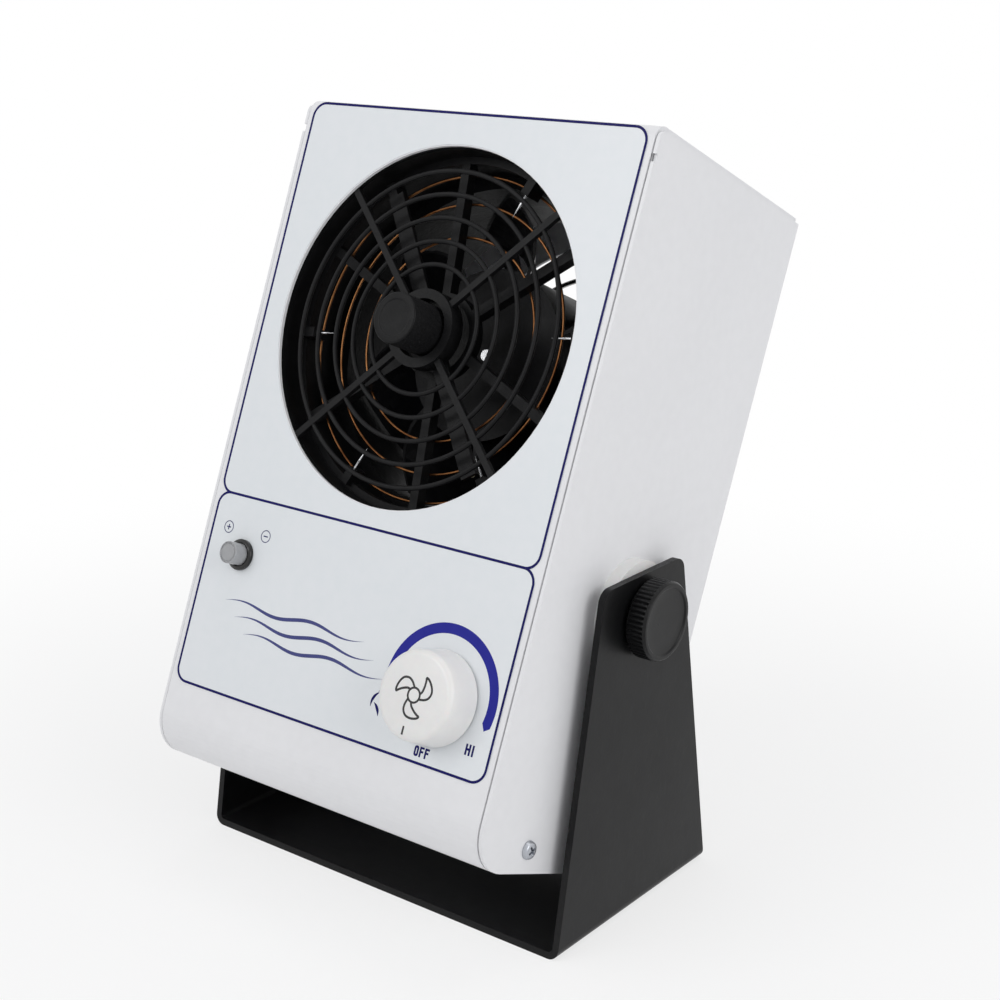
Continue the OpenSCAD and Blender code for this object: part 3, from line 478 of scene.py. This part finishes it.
def smooth_line(line, steps=4):
    """A smooth curve through the given points."""
    out = []
    for i in range(len(line) - 1):
        p0, p1, p2, p3 = (Vector(line[min(max(i + k, 0), len(line) - 1)]) for k in (-1, 0, 1, 2))
        for s in range(steps):
            t = s / steps
            out.append(tuple(0.5 * (2 * p1 + (p2 - p0) * t + (2 * p0 - 5 * p1 + 4 * p2 - p3) * t * t
                                    + (3 * p1 - p0 - 3 * p2 + p3) * t ** 3)))
    return out + [tuple(line[-1])]


def circle(x, y, radius, steps=48):
    """Points of a full circle."""
    return arc(x, y, radius, 0, 360 * (steps - 1) / steps, steps - 1)


# ---------- label print ----------

LABEL_LOW, LABEL_HIGH = span("label_overlay")
LABEL_FACE = LABEL_LOW.y
LABEL_PLACE = on_front(0, 0, LABEL_FACE - PRINT_SINK)


def on_label(name, loops, material):
    """Prints closed outlines on the label."""
    return piece(name, flat(loops), LABEL_PLACE, "housing", material)


def print_frames():
    """The navy line round both fields of the label, shared between them, with round corners."""
    line, round_r, middle, side = 0.44, 5.0, 5.9, 70.85
    top, bottom = LABEL_HIGH.z - 0.3, LABEL_LOW.z + 0.4
    outer_r, inner_r = round_r + line, round_r - line
    notch = 21.5    # degrees by which the outer arcs stop short where the two fields meet
    left, right = -side + round_r, side - round_r
    outside = (arc(right, top - round_r, outer_r, 0, 90) + arc(left, top - round_r, outer_r, 90, 180)
               + arc(left, middle + round_r, outer_r, 180, 270 - notch)
               + arc(left, middle - round_r, outer_r, 90 + notch, 180)
               + arc(left, bottom + round_r, outer_r, 180, 270)
               + arc(right, bottom + round_r, outer_r, 270, 360)
               + arc(right, middle - round_r, outer_r, 0, 90 - notch)
               + arc(right, middle + round_r, outer_r, 270 + notch, 360))
    windows = [arc(right, high - round_r, inner_r, 0, 90) + arc(left, high - round_r, inner_r, 90, 180)
               + arc(left, low + round_r, inner_r, 180, 270) + arc(right, low + round_r, inner_r, 270, 360)
               for low, high in ((middle, top), (bottom, middle))]
    on_label("label_frame_lines", [outside, *windows], navy_ink)


def print_scale():
    """The speed scale: a blue band round the knob that ends in a blunt arrow."""
    x, z = 45.8, -40.4
    start, outer_r, inner_r, tip_r, tip_angle = 190, 23.3, 19.8, 21.7, -19.4
    band = (arc(x, z, outer_r, start, -14.7, 60) + arc(x, z, tip_r, tip_angle, tip_angle, 1)[:1]
            + arc(x, z, inner_r, -13.8, start, 60))
    on_label("speed_scale_band", [band], blue_ink)
    dashes = [stroke(arc(24.5, -50.5, 5.2, 118, 190, 10), 1.0, True),
              stroke(arc(17.8, -54.6, 5.6, 8, 62, 10), 1.1, True),
              stroke(arc(23.6, -47.3, 2.6, 80, 150, 8), 0.6, True)]
    on_label("speed_scale_tail", dashes, navy_ink)


def letter(glyph, width, height, stem):
    """Closed outlines of a plain condensed capital, from its lower left corner."""
    w, h, s, middle = width, height, stem, height * 0.53
    if glyph == "I":
        return [[(0, 0), (s, 0), (s, h), (0, h)]]
    if glyph == "F":
        return [[(0, 0), (s, 0), (s, middle - s / 2), (w * 0.86, middle - s / 2), (w * 0.86, middle + s / 2),
                 (s, middle + s / 2), (s, h - s), (w, h - s), (w, h), (0, h)]]
    if glyph == "H":
        return [[(0, 0), (s, 0), (s, middle - s / 2), (w - s, middle - s / 2), (w - s, 0), (w, 0), (w, h),
                 (w - s, h), (w - s, middle + s / 2), (s, middle + s / 2), (s, h), (0, h)]]
    rings = []
    for inset, r in ((0, w * 0.42), (s, w * 0.42 - s * 0.6)):
        lo_x, hi_x, lo_y, hi_y = inset + r, w - inset - r, inset + r, h - inset - r
        rings.append(arc(hi_x, hi_y, r, 0, 90, 6) + arc(lo_x, hi_y, r, 90, 180, 6)
                     + arc(lo_x, lo_y, r, 180, 270, 6) + arc(hi_x, lo_y, r, 270, 360, 6))
    return rings


def print_word(name, word, x, z, width, height, stem, gap):
    """A short switch legend, centred on x and z."""
    widths = [stem if glyph == "I" else width for glyph in word]
    at = x - (sum(widths) + gap * (len(word) - 1)) / 2
    loops = []
    for glyph, wide in zip(word, widths):
        for loop in letter(glyph, wide, height, stem):
            loops.append([(at + u, z - height / 2 + v) for u, v in loop])
        at += wide + gap
    on_label(name, loops, navy_ink)


def print_ion_signs():
    """A circled plus and a circled minus over the lamp."""
    arm, bar, ring_out, ring_in = 1.0, 0.2, 2.24, 1.96
    for name, x, plus in (("plus_sign", -63.0, True), ("minus_sign", -44.6, False)):
        z = -6.15
        loops = [circle(x, z, ring_out), circle(x, z, ring_in)]
        if plus:
            loops.append([(x + a, z + b) for a, b in (
                (-arm, -bar), (-bar, -bar), (-bar, -arm), (bar, -arm), (bar, -bar), (arm, -bar), (arm, bar),
                (bar, bar), (bar, arm), (-bar, arm), (-bar, bar), (-arm, bar))])
        else:
            loops.append([(x - arm, z - bar), (x + arm, z - bar), (x + arm, z + bar), (x - arm, z + bar)])
        on_label(name, loops, navy_ink)


def print_airflow():
    """Three plain waves, a generic sign for moving air."""
    waves, length, swing, crests, steps = [], 66, 1.1, 2, 60
    for low, start in ((-31.5, -56), (-36.5, -50), (-41.5, -44)):
        line = [(start + length * i / steps, low + swing * sin(2 * pi * crests * i / steps))
                for i in range(steps + 1)]
        waves.append(stroke(line, 1.3, True))
    on_label("airflow_waves", waves, grey_ink)


# ---------- knobs, lamp and screws ----------

def make_speed_knob():
    """The white speed knob, turned from seat to face, with the fan sign and the pointer on the face."""
    low, high = span("speed_knob")
    axis_x, axis_z, radius = (low.x + high.x) / 2, (low.z + high.z) / 2, (high.x - low.x) / 2
    tall = high.y - low.y
    place = on_front(axis_x, axis_z, high.y)
    outline = eased([(0, 5), (4.2, 5), (4.2, 0.4), (6.2, 0.4), (6.2, 4.6, 0.8), (radius - 2, 4.6, 0.8),
                     (radius - 1.9, 0, 0.2), (radius, 0, 0.3), (radius - 1.2, tall, 2.2), (0, tall)])
    piece("dressed_speed_knob", turned(outline, 128), place, "speed_control", white_moulding,
          ["speed_knob"])
    face = place @ Matrix.Translation((0, 0, tall - PRINT_SINK))
    hub = [circle(0, 0, 2.75), circle(0, 0, 2.05)]
    # one blade from the hub out and back, as radius and angle
    blade = [(2.4, 20), (3.6, 32), (5.2, 48), (6.6, 58), (7.3, 62), (7.55, 56), (7.5, 44), (7.35, 30),
             (7.0, 17), (6.0, 4), (4.6, -6), (3.2, -14), (2.4, -22)]
    lines = []
    for turn in (0, 120, 240):
        line = [(r * cos(radians(a + turn)), r * sin(radians(a + turn))) for r, a in blade]
        lines.append(ribbon(smooth_line(line), 0.74))
    piece("knob_fan_sign", [(flat(hub), face)] + [(line, face) for line in lines], None,
          "speed_control", black_ink)
    pointer = [(-1.25, -13.2), (-0.55, -13.2), (-0.55, -10.4), (-1.25, -10.4)]
    piece("knob_pointer_line", flat([pointer]), face, "speed_control", black_ink)


def make_cleaning_knob():
    """The black knob at the middle of the grille: grained sides and a smooth dished face."""
    low, high = span("cleaning_knob")
    centre_z, radius, tall = (low.z + high.z) / 2, (high.x - low.x) / 2, high.y - low.y
    place = on_front(0, centre_z, high.y)
    side = eased([(0, 0), (radius - 0.1, 0, 0.4), (radius, tall - 0.9), (radius - 0.15, tall - 0.6)])
    piece("dressed_cleaning_knob", turned(side + [(0, tall - 0.6)], 96), place, "cleaning_brush",
          grained_black, ["cleaning_knob"])
    cap = eased([(0, tall - 1.4), (radius - 0.5, tall - 1.4), (radius - 0.05, tall - 0.8),
                 (radius - 0.1, tall, 0.7), (radius - 2.4, tall, 1.0), (radius - 2.8, tall - 0.18, 0.4),
                 (0, tall - 0.18)])
    piece("cleaning_knob_face", turned(cap, 96), place, "cleaning_brush", black_moulding)


def make_clamp_knobs():
    """The two clamp knobs: fluted rims, stepped in at the seat, round dished faces."""
    flutes, flute_depth, seat_step, seat_rows = 50, 0.55, 0.28, range(4, 14)
    for side, name in ((-1, "left"), (1, "right")):
        low, high = span("clamp_knob_" + name)
        radius, tall = (high.y - low.y) / 2, high.x - low.x
        place = on_side(side, min(abs(low.x), abs(high.x)))
        profile = eased([(0, 0), (radius - 1.4, 0, 0.3), (radius, 1.2, 0.4), (radius, 2.0),
                         (radius, tall - 1.6), (radius - 0.1, tall - 0.9), (radius - 0.7, tall, 0.35),
                         (radius - 2.0, tall, 0.25),
                         (radius - 2.4, tall - 0.5, 0.3), (radius - 6, tall - 0.6), (0, tall - 0.6)])
        ribbed = [radius - 0.02 < r and 1.0 < h < tall - 0.8 for r, h in profile]

        def groove(angle, row, ribbed=ribbed):
            if ribbed[row]:
                return flute_depth * (0.5 + 0.5 * cos(flutes * angle)) ** 1.6
            return seat_step if row in seat_rows else 0

        piece(f"dressed_clamp_knob_{name}", turned(profile, 8 * flutes, rib=groove), place, name + "_clamp",
              knob_black, ["clamp_knob_" + name])


def make_lamp():
    """The lamp: a black ring on the label, the capped lens in it and the pale reflector behind the lens."""
    low, high = span("indicator_bezel")
    lens_low, lens_high = span("indicator_lens")
    x, z = (low.x + high.x) / 2, (low.z + high.z) / 2
    ring_r, lens_r = (high.x - low.x) / 2, (lens_high.x - lens_low.x) / 2
    tall = LABEL_FACE - lens_low.y
    place = on_front(x, z, LABEL_FACE)
    back = LABEL_FACE - high.y
    ring = eased([(lens_r - 0.9, -2.6), (lens_r - 0.9, back), (lens_r - 0.1, back), (lens_r - 0.1, 0.02),
                  (ring_r, 0.02, 0.1), (ring_r, 1.3, 0.45), (lens_r + 0.75, 1.75, 0.3),
                  (lens_r + 0.3, 1.75, 0.15), (lens_r + 0.12, 0.4), (lens_r - 0.9, 0.3)])
    piece("lamp_bezel_ring", turned(ring, 96, closed=True), place, "housing", bezel_black,
          ["indicator_bezel"])
    dome = eased([(0, -2.0), (lens_r - 0.15, -2.0), (lens_r - 0.15, 0.4), (lens_r, 0.5), (lens_r, tall, 0.25),
                  (lens_r - 0.35, tall, 0.05), (lens_r - 0.45, tall - 0.4), (lens_r - 0.85, tall - 0.4),
                  (lens_r - 1.0, tall - 0.1, 0.1), (0, tall - 0.1)])
    piece("lamp_lens", turned(dome, 96), place, "housing", clear_lens, ["indicator_lens"])
    core = eased([(0, -1.6), (lens_r - 0.75, -1.6), (lens_r - 0.75, tall - 1.5, 0.3),
                  (lens_r - 1.2, tall - 1.1, 0.2), (0, tall - 1.3)])
    piece("lamp_reflector", turned(core, 64), place, "housing", lamp_grey)


def cross_screw(radius, head, shank, length):
    """A pan head screw with a cross recess, seat on the origin, shank down."""
    body = eased([(0, -length), (shank - 0.5, -length), (shank, -length + 0.6), (shank, 0.05),
                  (radius - 0.05, 0.05), (radius, 0.35, 0.2), (radius - 0.45, head - 0.25, 0.9),
                  (radius * 0.35, head), (0, head)])
    wide, deep, arm = radius * 0.62, head * 0.72, radius * 0.15
    outline = [(arm, arm), (arm, wide), (-arm, wide), (-arm, arm), (-wide, arm), (-wide, -arm), (-arm, -arm),
               (-arm, -wide), (arm, -wide), (arm, -arm), (wide, -arm), (wide, arm)]
    narrowing = 0.55
    points = [(x, y, head + 0.3) for x, y in outline]
    points += [(x * narrowing, y * narrowing, head - deep) for x, y in outline]
    count = len(outline)
    faces = [list(range(count)), list(range(2 * count - 1, count - 1, -1))]
    faces += [[i, (i + 1) % count, (i + 1) % count + count, i + count] for i in range(count)]
    return cut(turned(body, 48), (points, faces))


def make_screws():
    """The four case screws, two in each side plate, each turned to its own angle."""
    low, high = span("case_screws")
    head_r = 3.3
    screw = cross_screw(head_r, head=1.9, shank=1.7, length=6.6)
    side_x = span("rear_shell")[1].x
    z = low.z + (high.z - low.z) / 2
    y = (high.y - low.y) / 2 - head_r
    placed = []
    for side in (-1, 1):
        for k, depth in enumerate((-y, y)):
            turn = Matrix.Rotation(radians(17 + 41 * k + 25 * side), 4, "Z")
            placed.append((screw, on_side(side, side_x, depth, z) @ turn))
    piece("cross_case_screws", placed, None, "housing", zinc_steel, ["case_screws"])


# ---------- the scene ----------

def light_studio():
    """Three soft lamps and a pale fill; whatever looks past the blower sees plain white."""
    scene = bpy.context.scene
    scene.view_settings.view_transform = "Standard"
    softbox("key_softbox", (-0.55, -1.25, 1.15), width=1.0, height=0.8, power=7.3)
    softbox("side_softbox", (1.35, -0.25, 0.75), width=0.9, height=0.9, power=6.2)
    softbox("top_softbox", (0.1, 0.35, 1.6), width=1.2, height=0.8, power=3.0)
    world = scene.world or bpy.data.worlds.new("studio")
    scene.world = world
    world.use_nodes = True
    tree = world.node_tree
    tree.nodes.clear()
    shown = seen_share(tree)
    fill = put(tree, "Background", {"Color": (0.97, 0.98, 1, 1), "Strength": 0.5}).outputs[0]
    white = put(tree, "Background", {"Color": (1, 1, 1, 1), "Strength": 1.0}).outputs[0]
    both = put(tree, "MixShader", {0: shown, 1: fill, 2: white}).outputs[0]
    put(tree, "OutputWorld", {0: both})


def lay_floor():
    """A wide round pale floor that brightens to white away from the blower, so that no horizon shows."""
    points, faces = turned([(0, 0), (0.6, 0), (2.5, 0), (6.0, 0)], 48)
    mesh = bpy.data.meshes.new("studio_floor")
    mesh.from_pydata(points, [], faces)
    material = bpy.data.materials.new("pale studio floor")
    material.use_nodes = True
    tree = material.node_tree
    tree.nodes.clear()
    shown = seen_share(tree)
    matt = put(tree, "BsdfDiffuse", {"Color": (0.9, 0.9, 0.9, 1)}).outputs[0]
    white = put(tree, "Emission", {"Color": (1, 1, 1, 1), "Strength": 1.0}).outputs[0]
    place = put(tree, "TexCoord").outputs["Object"]
    away = put(tree, "VectorMath", {0: place}, operation="LENGTH").outputs["Value"]
    lifted = remap(tree, away, 0.12, 0.5, 0.7, 1.0, interpolation_type="SMOOTHSTEP")
    both = put(tree, "MixShader", {0: sums(tree, "MULTIPLY", shown, lifted), 1: matt, 2: white}).outputs[0]
    put(tree, "OutputMaterial", {0: both})
    mesh.materials.append(material)
    add_object("studio_floor", mesh)


aim_camera()
light_studio()
lay_floor()
wear_finishes()
print_frames()
print_scale()
print_word("legend_off", "OFF", 44.6, -60.4, width=1.8, height=3.5, stem=0.68, gap=0.4)
print_word("legend_hi", "HI", 62.8, -54.7, width=2.1, height=3.7, stem=0.72, gap=0.6)
print_ion_signs()
print_airflow()
make_speed_knob()
make_cleaning_knob()
make_clamp_knobs()
make_lamp()
make_screws()
